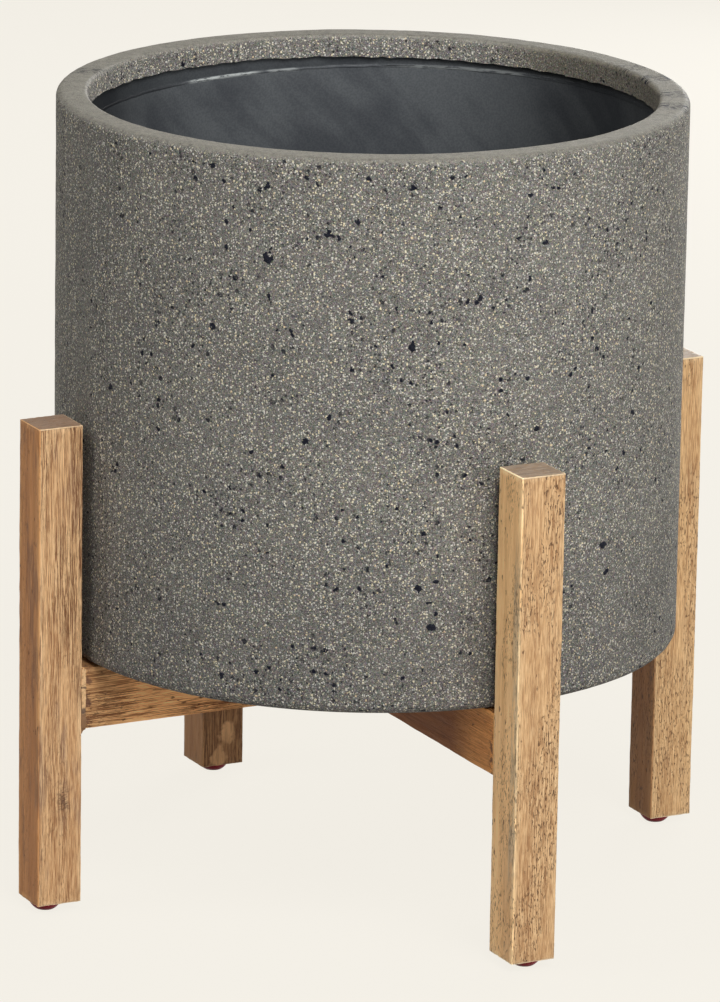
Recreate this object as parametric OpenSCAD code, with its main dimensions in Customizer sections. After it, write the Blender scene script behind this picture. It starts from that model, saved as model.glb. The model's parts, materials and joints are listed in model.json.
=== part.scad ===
// Round stone-look plant pot in a four-legged wooden cradle.
// The origin is the middle of the footprint, on the floor, and +Z is up.
// The left and right legs stand on the X axis, the front and back legs on the Y axis.

/* [Pot] */
// Outer diameter of the pot
pot_d = 400; // [340:5:460]
// Height of the pot
pot_h = 350; // [240:5:440]
// Width of the rim, seen from above
rim_w = 20.5; // [16:0.5:30]
// How far the rough coat runs down inside the mouth
lip_h = 14; // [10:1:30]
// Thickness of the shell's floor
floor_t = 18; // [12:1:30]
// Rounding of the rim's two edges
rim_r = 5.5; // [2:0.5:8]
// Rounding of the pot's lower edge
base_r = 6; // [2:0.5:12]
// Width of the ring that the pot stands on
ring_w = 40; // [20:1:80]
// Height of the hollow inside that ring
recess_h = 4; // [2:0.5:8]

/* [Liner] */
// Thickness of the dark liner
liner_t = 3; // [2:0.5:4]
// How far the rim overhangs the liner's wall
lip_over = 3.5; // [2:0.5:6]
// Distance from the rim's lower edge down to the liner's bead
bead_drop = 5.5; // [3:0.5:12]
// Radius of the liner's bead
bead_r = 1.6; // [0.8:0.1:1.9]
// Rounding between the liner's wall and its floor, inside
liner_r = 12; // [5:1:30]

/* [Drain] */
// Diameter of the drain hole
drain_d = 24; // [14:1:40]
// How far the plug's flange reaches past the edge of the hole
flange_over = 7; // [3:0.5:12]
// Thickness of the plug's flange
flange_t = 3; // [2:0.5:5]
// Narrowing of the plug from its top to its tip, in diameter
plug_taper = 2.4; // [0:0.2:4]
// Diameter of the plug's knob
knob_d = 14; // [12:1:18]
// Height of the knob
knob_h = 6; // [5:0.5:12]
// Rounding of the knob's and the flange's edges
plug_r = 1.4; // [0.4:0.1:1.8]
// Diameter of the waist between flange and knob
waist_d = 9; // [6:0.5:11]
// Height of the waist
waist_h = 3; // [1:0.5:6]

/* [Legs] */
// Width and depth of a square leg
leg_w = 31; // [26:0.5:45]
// Length of a leg
leg_l = 313; // [260:1:420]
// Gap between the pot and each leg
leg_gap = 6; // [3:0.5:12]
// Width of the worn edges on the legs and bars
edge_w = 0.8; // [0.3:0.1:2]

/* [Cross bars] */
// Height of a bar
bar_h = 41; // [34:1:60]
// How far a bar's side lies behind the side of its leg
bar_inset = 0.5; // [0:0.25:3]
// Height of a bar's underside above the lower end of the legs
bar_up = 114; // [60:1:160]

/* [Dowels] */
// Diameter of a dowel
dowel_d = 8; // [5:0.5:10]
// Length of a dowel inside the leg
dowel_in_leg = 18; // [12:1:20]
// Length of a dowel inside the bar
dowel_in_bar = 22; // [12:1:40]
// Distance from a bar's upper or lower face to the nearer dowel's axis
dowel_edge = 10.5; // [8:0.5:12]

/* [Lap screw] */
// Diameter of the screw's shank
screw_d = 4; // [3:0.5:5]
// Diameter of the screw's countersunk head
head_d = 8; // [7:0.5:10]
// Depth of the head below the bar's underside
head_sink = 0.8; // [0.2:0.1:2]
// Distance from the screw's point to the bar's upper face
point_cover = 8; // [4:0.5:12]
// Width of the slots in the screw's head
slot_w = 1; // [0.6:0.1:1.4]
// Depth of the slots in the screw's head
slot_h = 1.2; // [0.6:0.1:1.6]
// Length of the slots in the screw's head
slot_l = 5; // [3:0.5:6]

/* [Glides] */
// Diameter of a glide
glide_d = 20; // [16:1:26]
// Height of a glide
glide_h = 5.5; // [4:0.5:9]
// Diameter of the flat that a glide stands on
glide_flat_d = 12; // [8:1:15]
// Height of the straight band at a glide's upper edge
glide_band = 1; // [0.5:0.5:2]
// Diameter of a glide's nail
nail_d = 2.5; // [1.5:0.5:4]
// Length of the nail inside the leg
nail_in_leg = 16; // [10:1:25]
// Diameter of the nail's head
nail_head_d = 8; // [6:1:11]
// Thickness of the nail's head
nail_head_t = 1.2; // [0.8:0.1:2]
// Shift of the left glide along X, nailed on by hand
left_shift = -3; // [-4:0.5:4]
// Shift of the front glide along X
front_shift = 2; // [-4:0.5:4]
// Shift of the right glide along X
right_shift = -3; // [-4:0.5:4]
// Shift of the back glide along X
back_shift = 0; // [-4:0.5:4]

/* [Fits] */
// Radial clearance of dowels, screw and nails in their holes
pin_fit = 0.05; // [0.02:0.01:0.1]
// Gap between the shell and the liner's wall
liner_fit = 0.3; // [0.2:0.1:0.5]
// Radial gap between the plug and the drain hole
plug_fit = 0.4; // [0.3:0.1:0.8]
// Gap between the sides of the bars' lap joint
lap_fit = 0.1; // [0.05:0.05:0.3]
// Empty depth past the end of each blind hole
hole_slack = 1; // [0.5:0.5:2]

/* [Hidden] */
$fn = 96;

// What a cutter reaches past the face that it cuts
past = 1;

// Directions of the four legs, seen from above
left_dir = 180;
front_dir = 270;
right_dir = 0;
back_dir = 90;

// Heights of the stand
leg_z = glide_h;
bar_z = leg_z + bar_up;
lap_z = bar_z + bar_h / 2;
pot_z = bar_z + bar_h;

// Plan of the stand
bar_half = pot_d / 2 + leg_gap;
leg_r = bar_half + leg_w / 2;
bar_t = leg_w - 2 * bar_inset;
dowel_zs = [bar_z + dowel_edge, bar_z + bar_h - dowel_edge];

// Radii and heights of the pot
pot_r = pot_d / 2;
mouth_r = pot_r - rim_w;
liner_in_r = mouth_r + lip_over;
liner_out_r = liner_in_r + liner_t;
shell_in_r = liner_out_r + liner_fit;
rim_z = pot_z + pot_h;
lip_z = rim_z - lip_h;
under_z = pot_z + recess_h;
shell_floor_z = pot_z + floor_t;
liner_floor_z = shell_floor_z + liner_t;
bead_z = lip_z - bead_drop;

// Screw and glide
head_h = (head_d - screw_d) / 2;
screw_z = bar_z + head_sink;
screw_l = bar_h - head_sink - point_cover;
point_h = screw_d;
dome_h = glide_h - glide_band;
dome_c = ((glide_d / 2) ^ 2 - (glide_flat_d / 2) ^ 2 + dome_h ^ 2) / (2 * dome_h);
dome_r = sqrt((glide_flat_d / 2) ^ 2 + dome_c ^ 2);

stone_grey = [0.42, 0.42, 0.40];
slate_grey = [0.24, 0.26, 0.28];
oiled_wood = [0.66, 0.47, 0.29];
pale_wood = [0.80, 0.66, 0.46];
deep_red = [0.30, 0.05, 0.07];
soft_black = [0.10, 0.10, 0.10];
bright_steel = [0.72, 0.73, 0.75];

// Cuts the corner at x, y down to a quarter circle of radius r.
// The corner points towards +X where sx is 1 and -X where it is -1, and sy is the same for Y.
module corner_cut(x, y, r, sx, sy) {
  translate([x - sx * r, y - sy * r])
    difference() {
      translate([sx > 0 ? 0 : -r - past, sy > 0 ? 0 : -r - past])
        square(r + past);
      circle(r);
    }
}

// A rectangle between two radii and two heights
module band(r0, r1, z0, z1) {
  translate([r0, z0])
    square([r1 - r0, z1 - z0]);
}

// A rectangle in the middle of the plane, with its four corners worn off
module worn_rect(w, h) {
  c = edge_w;
  polygon([
    [-w / 2 + c, -h / 2], [w / 2 - c, -h / 2], [w / 2, -h / 2 + c], [w / 2, h / 2 - c],
    [w / 2 - c, h / 2], [-w / 2 + c, h / 2], [-w / 2, h / 2 - c], [-w / 2, -h / 2 + c]
  ]);
}

// Shell: wall, floor and thick rim, with a hollow underside and the drain hole
module pot_shell() {
  color(stone_grey)
    rotate_extrude()
      difference() {
        union() {
          band(shell_in_r, pot_r, pot_z, rim_z);
          band(mouth_r, pot_r, lip_z, rim_z);
          band(drain_d / 2, pot_r, under_z, shell_floor_z);
          band(pot_r - ring_w, pot_r, pot_z, shell_floor_z);
        }
        corner_cut(pot_r, rim_z, rim_r, 1, 1);
        corner_cut(mouth_r, rim_z, rim_r, -1, 1);
        corner_cut(pot_r, pot_z, base_r, 1, -1);
      }
}

// Liner: thin cup with a rounded bottom corner, a bead near its upper edge and the drain hole
module pot_liner() {
  color(slate_grey)
    rotate_extrude() {
      difference() {
        band(drain_d / 2, liner_out_r, shell_floor_z, lip_z);
        band(-past, liner_in_r - liner_r, liner_floor_z, lip_z + past);
        band(-past, liner_in_r, liner_floor_z + liner_r, lip_z + past);
        translate([liner_in_r - liner_r, liner_floor_z + liner_r])
          circle(liner_r);
      }
      intersection() {
        translate([liner_in_r, bead_z])
          circle(bead_r);
        band(0, liner_in_r + liner_t / 2, pot_z, rim_z);
      }
    }
}

// Plug: tapered body in the drain hole, flange on the liner's floor, waist and knob
module drain_plug() {
  body_r = drain_d / 2 - plug_fit;
  body_h = liner_floor_z - under_z - plug_fit;
  flange_r = drain_d / 2 + flange_over;
  knob_r = knob_d / 2;
  knob_low = flange_t + waist_h;
  knob_top = knob_low + knob_h;
  color(soft_black)
    translate([0, 0, liner_floor_z]) {
      translate([0, 0, -body_h])
        cylinder(h = body_h, r1 = body_r - plug_taper / 2, r2 = body_r);
      rotate_extrude()
        difference() {
          band(0, flange_r, 0, flange_t);
          corner_cut(flange_r, flange_t, plug_r, 1, 1);
        }
      cylinder(h = knob_top - plug_r, d = waist_d);
      rotate_extrude()
        difference() {
          band(0, knob_r, knob_low, knob_top);
          corner_cut(knob_r, knob_top, plug_r, 1, 1);
          corner_cut(knob_r, knob_low, plug_r, 1, -1);
        }
    }
}

// One dowel hole in a leg or bar, from x0 to x1 along the leg's own direction
module dowel_holes(x0, x1) {
  for (z = dowel_zs)
    translate([x0, 0, z])
      rotate([0, 90, 0])
        cylinder(h = x1 - x0, r = dowel_d / 2 + pin_fit);
}

// A leg in the given direction, with its dowel holes and the hole for its glide's nail
module leg(dir, shift) {
  color(oiled_wood)
    difference() {
      rotate([0, 0, dir])
        difference() {
          translate([leg_r, 0, leg_z])
            intersection() {
              linear_extrude(leg_l)
                worn_rect(leg_w, leg_w);
              translate([0, leg_w / 2, leg_l / 2])
                rotate([90, 0, 0])
                  linear_extrude(leg_w)
                    worn_rect(leg_w, leg_l);
              translate([-leg_w / 2, 0, leg_l / 2])
                rotate([90, 0, 90])
                  linear_extrude(leg_w)
                    worn_rect(leg_w, leg_l);
            }
          dowel_holes(bar_half - past, bar_half + dowel_in_leg + hole_slack);
        }
      rotate([0, 0, dir])
        translate([leg_r, 0, 0])
          rotate([0, 0, -dir])
            translate([shift, 0, leg_z - past])
              cylinder(h = nail_in_leg + hole_slack + past, r = nail_d / 2 + pin_fit);
    }
}

module leg_left() {
  leg(left_dir, left_shift);
}

module leg_front() {
  leg(front_dir, front_shift);
}

module leg_right() {
  leg(right_dir, right_shift);
}

module leg_back() {
  leg(back_dir, back_shift);
}

// A bar along X between two legs, with worn long edges and dowel holes in both ends.
// The lap's notch takes everything from lap_z to the far side named by its sign.
module bar(notch_side) {
  notch_w = bar_t + 2 * lap_fit;
  difference() {
    translate([-bar_half, 0, bar_z + bar_h / 2])
      rotate([90, 0, 90])
        linear_extrude(2 * bar_half)
          worn_rect(bar_t, bar_h);
    for (turn = [0, 180])
      rotate([0, 0, turn])
        dowel_holes(bar_half - dowel_in_bar - hole_slack, bar_half + past);
    translate([-notch_w / 2, -leg_w / 2, notch_side > 0 ? lap_z : bar_z - past])
      cube([notch_w, leg_w, bar_h / 2 + past]);
    translate([0, 0, screw_z])
      cylinder(h = screw_l + hole_slack, r = screw_d / 2 + pin_fit);
    translate([0, 0, screw_z])
      cylinder(h = head_h, r1 = head_d / 2 + pin_fit, r2 = screw_d / 2 + pin_fit);
    translate([0, 0, bar_z - past])
      cylinder(h = head_sink + past, r = head_d / 2 + pin_fit);
  }
}

// Upper bar of the lap: its notch opens downwards
module bar_left_right() {
  color(oiled_wood)
    bar(-1);
}

// Lower bar of the lap: its notch opens upwards
module bar_front_back() {
  color(oiled_wood)
    rotate([0, 0, 90])
      bar(1);
}

// Two dowels in each of the four joints
module bar_dowels() {
  color(pale_wood)
    for (dir = [left_dir, front_dir, right_dir, back_dir])
      rotate([0, 0, dir])
        for (z = dowel_zs)
          translate([bar_half - dowel_in_bar, 0, z])
            rotate([0, 90, 0])
              cylinder(h = dowel_in_bar + dowel_in_leg, d = dowel_d);
}

// Countersunk screw, driven up through the lower bar into the upper one
module lap_screw() {
  color(bright_steel)
    translate([0, 0, screw_z])
      difference() {
        union() {
          cylinder(h = head_h, d1 = head_d, d2 = screw_d);
          cylinder(h = screw_l - point_h, d = screw_d);
          translate([0, 0, screw_l - point_h])
            cylinder(h = point_h, d1 = screw_d, d2 = 0);
        }
        for (turn = [0, 90])
          rotate([0, 0, turn])
            translate([-slot_l / 2, -slot_w / 2, -past])
              cube([slot_l, slot_w, slot_h + past]);
      }
}

// A domed button with a flat foot and a pocket for the nail's head
module glide(dir, shift) {
  color(deep_red)
    rotate([0, 0, dir])
      translate([leg_r, 0, 0])
        rotate([0, 0, -dir])
          translate([shift, 0, 0])
            difference() {
              intersection() {
                cylinder(h = glide_h, d = glide_d);
                union() {
                  intersection() {
                    translate([0, 0, dome_c])
                      sphere(dome_r);
                    cylinder(h = dome_h, d = glide_d + 2 * past);
                  }
                  translate([0, 0, dome_h])
                    cylinder(h = glide_band, d = glide_d);
                }
              }
              translate([0, 0, glide_h - nail_head_t])
                cylinder(h = nail_head_t + past, r = nail_head_d / 2 + pin_fit);
            }
}

module glide_left() {
  glide(left_dir, left_shift);
}

module glide_front() {
  glide(front_dir, front_shift);
}

module glide_right() {
  glide(right_dir, right_shift);
}

module glide_back() {
  glide(back_dir, back_shift);
}

// A nail for each glide: flat head in the glide's pocket, shank up into the leg
module glide_nails() {
  color(bright_steel)
    for (foot = [[left_dir, left_shift], [front_dir, front_shift],
                 [right_dir, right_shift], [back_dir, back_shift]])
      rotate([0, 0, foot[0]])
        translate([leg_r, 0, glide_h - nail_head_t])
          rotate([0, 0, -foot[0]])
            translate([foot[1], 0, 0]) {
              cylinder(h = nail_head_t, d = nail_head_d);
              cylinder(h = nail_head_t + nail_in_leg - nail_d, d = nail_d);
              translate([0, 0, nail_head_t + nail_in_leg - nail_d])
                cylinder(h = nail_d, d1 = nail_d, d2 = 0);
            }
}

pot_shell();
pot_liner();
drain_plug();
leg_left();
leg_front();
leg_right();
leg_back();
bar_left_right();
bar_front_back();
bar_dowels();
lap_screw();
glide_left();
glide_front();
glide_right();
glide_back();
glide_nails();
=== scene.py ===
"""A round plant pot with a stone-like coat and a dark liner, in a worn wooden stand.

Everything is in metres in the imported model's frame: +Z up, the floor at 0, the left and right legs on X.
Sizes in the classes and in the finishes are in millimetres.
"""
import json
import logging
from contextlib import contextmanager
from dataclasses import dataclass
from enum import Enum
from math import atan, cos, pi, radians, sin
from typing import Callable, Iterator, Sequence

import bmesh
import bpy
from mathutils import Matrix, Vector

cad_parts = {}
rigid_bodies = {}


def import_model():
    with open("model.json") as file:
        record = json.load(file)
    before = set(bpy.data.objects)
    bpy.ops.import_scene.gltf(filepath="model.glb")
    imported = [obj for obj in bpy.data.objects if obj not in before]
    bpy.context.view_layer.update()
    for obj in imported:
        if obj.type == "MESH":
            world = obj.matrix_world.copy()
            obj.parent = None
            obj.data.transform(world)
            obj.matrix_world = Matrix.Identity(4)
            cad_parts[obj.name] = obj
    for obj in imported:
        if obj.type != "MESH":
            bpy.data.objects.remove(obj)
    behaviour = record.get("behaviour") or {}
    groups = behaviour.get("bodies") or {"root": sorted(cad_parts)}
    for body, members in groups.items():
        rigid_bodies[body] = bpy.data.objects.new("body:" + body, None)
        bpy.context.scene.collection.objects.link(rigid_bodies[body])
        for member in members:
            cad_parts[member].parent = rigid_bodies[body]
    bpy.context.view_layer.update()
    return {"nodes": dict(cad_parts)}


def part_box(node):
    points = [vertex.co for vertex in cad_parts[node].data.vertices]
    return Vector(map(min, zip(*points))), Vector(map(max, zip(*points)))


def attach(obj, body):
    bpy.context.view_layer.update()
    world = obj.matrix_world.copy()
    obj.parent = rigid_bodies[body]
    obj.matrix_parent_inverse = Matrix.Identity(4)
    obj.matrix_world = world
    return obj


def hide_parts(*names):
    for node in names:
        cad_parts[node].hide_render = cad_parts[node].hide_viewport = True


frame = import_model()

MM = 0.001
FULL_TURN = 2 * pi
LOG = logging.getLogger("plant_pot")

Colour = tuple[float, float, float]
Pair = tuple[float, float]
Corner = tuple[float, float, int]
Piece = bpy.types.Object
Material = bpy.types.Material


class Body(Enum):
    """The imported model's moving bodies."""

    STAND = "stand"
    POT = "pot"


class Grain(Enum):
    """Which way the fibres of a wooden piece run."""

    ALONG_X = (2, 1, 0)
    ALONG_Y = (0, 2, 1)
    ALONG_Z = (0, 1, 2)


@dataclass(frozen=True)
class Wire:
    """A socket in a finish's node tree. Sums on wires and numbers add Math nodes."""

    nodes: "Nodes"
    socket: bpy.types.NodeSocket

    def __add__(self, other: "Value") -> "Wire":
        """Self plus other."""
        return self.nodes.math("ADD", self, other)

    __radd__ = __add__

    def __sub__(self, other: "Value") -> "Wire":
        """Self minus other."""
        return self.nodes.math("SUBTRACT", self, other)

    def __rsub__(self, other: "Value") -> "Wire":
        """Other minus self."""
        return self.nodes.math("SUBTRACT", other, self)

    def __mul__(self, other: "Value") -> "Wire":
        """Self times other."""
        return self.nodes.math("MULTIPLY", self, other)

    __rmul__ = __mul__

    def __truediv__(self, other: "Value") -> "Wire":
        """Self over other."""
        return self.nodes.math("DIVIDE", self, other)

    def __abs__(self) -> "Wire":
        """Self without its sign."""
        return self.nodes.math("ABSOLUTE", self)


Value = Wire | float | int | Sequence[float]


class Nodes:
    """One node tree and the means to fill it."""

    def __init__(self, owner: str | bpy.types.World) -> None:
        """Starts an empty tree.

        Args:
            owner: A world, or the name of a new material.
        """
        self.owner = bpy.data.materials.new(owner) if isinstance(owner, str) else owner
        self.owner.use_nodes = True
        self.tree = self.owner.node_tree
        self.tree.nodes.clear()

    def node(self, kind: str, sockets: dict[str | int, Value], out: str | int = 0, **settings: object) -> Wire:
        """Adds a node.

        Args:
            kind: The node's type, without the leading ShaderNode.
            sockets: Numbers, colours or wires for its inputs.
            out: Which output to return.
            settings: Its settings.

        Returns:
            The chosen output.
        """
        made = self.tree.nodes.new("ShaderNode" + kind)
        for key, value in settings.items():
            setattr(made, key, value)
        for key, value in sockets.items():
            socket = made.inputs[key]
            if isinstance(value, Wire):
                self.tree.links.new(value.socket, socket)
            else:
                socket.default_value = (*value, 1) if socket.type == "RGBA" else value
        return Wire(self, made.outputs[out])

    def math(self, operation: str, *terms: Value) -> Wire:
        """A Math node on the given terms."""
        return self.node("Math", dict(enumerate(terms)), operation=operation)

    def smaller(self, a: Value, b: Value) -> Wire:
        """The smaller of two values."""
        return self.math("MINIMUM", a, b)

    def larger(self, a: Value, b: Value) -> Wire:
        """The larger of two values."""
        return self.math("MAXIMUM", a, b)

    def vector(self, operation: str, *terms: Value) -> Wire:
        """A Vector Math node on the given terms."""
        return self.node("VectorMath", dict(enumerate(terms)), operation=operation)

    def scaled(self, vector: Wire, by: Sequence[float]) -> Wire:
        """A vector times three numbers."""
        return self.vector("MULTIPLY", vector, by)

    def length(self, vector: Wire, by: Sequence[float]) -> Wire:
        """The length of a vector times three numbers."""
        return self.node("VectorMath", {0: self.scaled(vector, by)}, "Value", operation="LENGTH")

    def place(self) -> Wire:
        """The point on the piece, in millimetres of the shared frame."""
        return self.scaled(self.node("TexCoord", {}, "Object"), (1 / MM,) * 3)

    def split(self, vector: Wire) -> list[Wire]:
        """The three parts of a vector."""
        first = self.node("SeparateXYZ", {0: vector})
        return [Wire(self, output) for output in first.socket.node.outputs]

    def join(self, x: Value, y: Value, z: Value) -> Wire:
        """A vector of three parts."""
        return self.node("CombineXYZ", {0: x, 1: y, 2: z})

    def noise(self, at: Wire, scale: float = 1.0, detail: float = 2.0, rough: float = 0.5, out: str = "Fac") -> Wire:
        """Soft noise: scale is its features per unit, detail its finer layers and rough how strong they are."""
        return self.node("TexNoise", {"Vector": at, "Scale": scale, "Detail": detail, "Roughness": rough}, out)

    def cells(self, at: Wire, scale: float, out: str = "Distance") -> Wire:
        """Cells round scattered points: the distance to the nearest, or its random colour."""
        return self.node("TexVoronoi", {"Vector": at, "Scale": scale}, out)

    def ease(self, value: Value, start: Value, end: Value, low: Value = 0.0, high: Value = 1.0) -> Wire:
        """A smooth step of value from low at start to high at end."""
        sockets = {"Value": value, "From Min": start, "From Max": end, "To Min": low, "To Max": high}
        return self.node("MapRange", sockets, interpolation_type="SMOOTHSTEP", clamp=True)

    def blend(self, amount: Value, a: Value, b: Value, kind: str = "MIX") -> Wire:
        """Two colours mixed: an amount of 0 gives a, 1 gives b, and kind is how b acts on a."""
        sockets = {0: amount, 6: a, 7: b}
        return self.node("Mix", sockets, 2, data_type="RGBA", blend_type=kind, clamp_factor=True)

    def layers(self, base: Value, *coats: tuple) -> Value:
        """Colours laid over a base one after another.

        Args:
            base: The lowest colour.
            coats: The amount and the colour of each, and how it acts on what is below unless it covers it.

        Returns:
            The colour on top.
        """
        for amount, colour, *kind in coats:
            base = self.blend(amount, base, colour, *kind)
        return base

    def shift(self, at: Wire, scale: float, reach: float, detail: float = 2.0) -> Wire:
        """The point moved about by noise, so that patterns read there lose their regular outlines."""
        jitter = self.vector("SUBTRACT", self.noise(at, scale, detail, out="Color"), (0.5,) * 3)
        return self.vector("ADD", at, self.scaled(jitter, (reach,) * 3))

    def relief(self, height: Wire, depth: float, strength: float = 1.0, under: Wire | None = None) -> Wire:
        """A bumped normal, where a height of 1 is depth millimetres and under is a coarser relief below it."""
        sockets = {"Height": height, "Distance": depth * MM, "Strength": strength}
        return self.node("Bump", sockets if under is None else {**sockets, "Normal": under})

    def surface(
        self, colour: Value, rough: Value, normal: Wire, gloss: float = 0.5, metallic: float = 0.0
    ) -> Material:
        """Ends the tree in a Principled shader.

        Args:
            colour: Its base colour.
            rough: Its roughness.
            normal: Its bumped normal.
            gloss: Its specular level.
            metallic: 1 for bare metal.

        Returns:
            The finished material.
        """
        sockets = {"Base Color": colour, "Roughness": rough, "Normal": normal}
        self.end(self.node("BsdfPrincipled", {**sockets, "Specular IOR Level": gloss, "Metallic": metallic}))
        return self.owner

    def seen(self) -> Wire:
        """Tells what the camera sees from what only gives light.

        Returns:
            1 for what it sees, also in a mirror or through glass, and 0 for light.
        """
        path = self.node("LightPath", {})
        camera, glossy, clear = (
            Wire(self, path.socket.node.outputs[f"Is {ray} Ray"]) for ray in ("Camera", "Glossy", "Transmission")
        )
        return self.larger(camera, self.larger(glossy, clear))

    def end(self, shader: Wire, kind: str = "Material") -> None:
        """Links a shader to the output."""
        out = self.tree.nodes.new("ShaderNodeOutput" + kind)
        self.tree.links.new(shader.socket, out.inputs["Surface"])


def tinted(colour: Colour, by: float) -> Colour:
    """A colour made darker or lighter."""
    return tuple(by * c for c in colour)


@dataclass(frozen=True)
class StoneCoat:
    """Sandy grey coat with pale grains and near-black chips, rubbed smooth on the rim's top.

    The inner band carries painted light, and round smooth_at, in degrees, it is smooth and carries painted shade.
    Painted shade darkens the coat towards the bottom between the two heights in settled, with painted light above
    them.
    Each of the scores, dark strokes on the rim, has its place in degrees and its strength.
    """

    rim_z: float
    pot_r: float
    mouth_r: float
    matrix: Colour = (0.170, 0.164, 0.149)
    cream: Colour = (0.88, 0.78, 0.50)
    white: Colour = (0.90, 0.88, 0.80)
    peach: Colour = (0.78, 0.61, 0.38)
    soot: Colour = (0.034, 0.034, 0.038)
    chip: Colour = (0.006, 0.007, 0.014)
    rubbed: Colour = (0.205, 0.196, 0.165)
    smooth_at: float = -4.0
    shade_heights: Pair = (285.0, 185.0)
    scores: tuple[Pair, ...] = ((-36.0, 1.0), (-25.0, 0.9), (-10.0, 1.0), (1.0, 0.6), (138.0, 0.7))

    def grains(self, n: Nodes, at: Wire, scale: float, share: float, size: float) -> tuple[Wire, Wire]:
        """Scattered grains of one size.

        Args:
            n: The tree.
            at: The warped point.
            scale: Cells per millimetre.
            share: The part of the cells that hold a grain.
            size: The grain's radius as a part of its cell.

        Returns:
            A mask, 1 inside a grain, and a random number for each.
        """
        kind, chance, _ = n.split(n.cells(at, scale, "Color"))
        inside = 1 - n.ease(n.cells(at, scale), size * 0.55, size * 1.15)
        return n.ease(kind, 1 - share, 1.04 - share) * inside * (0.55 + 0.45 * chance), chance

    def chips(self, n: Nodes, at: Wire, scale: float, least: float, most: float, crowd: Wire) -> Wire:
        """Dark chips of one size class.

        Args:
            n: The tree.
            at: The warped point.
            scale: Chips per millimetre of length.
            least: Their smallest radius in millimetres.
            most: Their largest radius.
            crowd: Swells them where chips cluster.

        Returns:
            A mask, 1 inside a chip.
        """
        chance = n.split(n.cells(at, scale, "Color"))[0]
        size = (chance * (most - least) + least) * crowd
        return 1 - n.ease(n.cells(at, scale) / scale, size - 0.35, size + 0.20)

    def material(self) -> Material:
        """Builds the finish.

        Returns:
            The finish for the shell.
        """
        n = Nodes("stone_coat")
        point = n.place()
        x, y, z = n.split(point)
        radius = n.math("SQRT", x * x + y * y)
        warped = n.shift(point, 0.9, 1.3)
        ragged = n.shift(point, 0.38, 4.2, 3)

        uneven = n.noise(point, 0.22, 4, 0.7) - 0.5
        top = n.ease(z + uneven * 7.0, self.rim_z - 4.2, self.rim_z - 0.3)
        turn = n.math("ARCTAN2", y, x)
        inside = 1 - n.ease(radius, self.mouth_r + 0.6, self.mouth_r + 2.6)
        # Round smooth_at the band is smoother and darkened as painted shade.
        smooth_shaded_band = inside * (1 - n.ease(abs(turn - radians(self.smooth_at)), radians(25), radians(46)))
        gritty = (1 - 0.72 * top) * (1 - 0.75 * smooth_shaded_band)

        bold, bold_tint = self.grains(n, warped, 0.56, 0.15, 0.44)
        grain, tint = self.grains(n, warped, 0.92, 0.24, 0.50)
        dust, _ = self.grains(n, warped, 1.70, 0.30, 0.55)
        holes, _ = self.grains(n, warped, 1.00, 0.30, 0.50)
        holes = holes * n.ease(n.noise(point, 0.11, 2), 0.36, 0.60)
        fine = n.noise(point, 1.3, 4, 0.72)

        crowd = n.ease(n.noise(point, 0.030, 2), 0.34, 0.62, 0.40, 1.30)
        large = self.chips(n, ragged, 0.060, 0.1, 1.7, crowd)
        small = self.chips(n, ragged, 0.180, 0.20, 1.45, crowd)
        specks = self.chips(n, warped, 0.40, 0.10, 0.75, crowd)
        faint = n.ease(n.noise(point, 0.16, 2), 0.38, 0.60, 0.60, 1.0)
        dark = n.larger(n.larger(large, small * faint), specks * 0.80)

        at_score: Value = 0.0
        for degrees, strength in self.scores:
            off = abs(turn - radians(degrees)) * self.pot_r
            at_score = n.larger(at_score, strength * (1 - n.ease(off, 5.0, 14.0)))
        streak = n.noise(n.join(turn * self.pot_r * 0.50, radius * 0.16, 0.0), 1.0, 2, 0.55)
        scored = n.ease(streak, 0.49, 0.54) * at_score * n.ease(top, 0.0, 0.4)

        wiped = n.ease(fine * 0.5 + uneven * 0.5 + 0.25, 0.34, 0.66)
        base = n.layers(
            n.blend(n.ease(fine, 0.35, 0.67), tinted(self.matrix, 0.42), tinted(self.matrix, 1.66)),
            (0.5, n.noise(point, 0.8, 2, out="Color"), "SOFT_LIGHT"),
            (n.ease(n.noise(point, 0.020, 3), 0.35, 0.65) * 0.6, (0.84, 0.84, 0.86), "MULTIPLY"),
            (n.ease(n.noise(point, 0.42, 3), 0.60, 0.38) * 0.8, (0.80, 0.80, 0.81), "MULTIPLY"),
            (holes * 0.85 * gritty, self.soot),
            (dust * 0.38 * gritty, n.blend(tint, self.white, self.cream)),
            (grain * 0.95 * gritty, n.blend(n.ease(tint, 0.45, 0.95), self.white, self.cream)),
            (bold * 0.9 * gritty,
             n.blend(n.ease(bold_tint, 0.78, 0.95), n.blend(bold_tint, self.white, self.cream), self.peach)),
            (top * 0.74, n.blend(wiped, tinted(self.rubbed, 0.70), tinted(self.rubbed, 1.32))),
            # Painted light on the inner band.
            (inside, (1.30, 1.30, 1.32), "MULTIPLY"),
            # Painted shade on the band's smooth stretch.
            (smooth_shaded_band, (0.72, 0.69, 0.62), "MULTIPLY"),
            # Painted light high on the wall and painted shade towards the bottom.
            (1.0, n.blend(n.ease(z, *self.shade_heights), (1.06, 1.05, 1.04), (0.89, 0.88, 0.88)), "MULTIPLY"),
            (n.larger(dark * (1 - 0.80 * top), scored), self.chip),
        )
        height = (grain * 0.7 + bold * 0.8 + fine * 0.7 - holes * 0.5) * gritty - dark * 0.4 - scored * 0.5
        coarse = n.relief(n.noise(point, 0.30, 3), 0.5, 0.6)
        return n.surface(base, n.ease(top, 0.0, 1.0, 0.88, 0.70), n.relief(height, 0.40, 0.75, coarse), 0.14)


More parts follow.
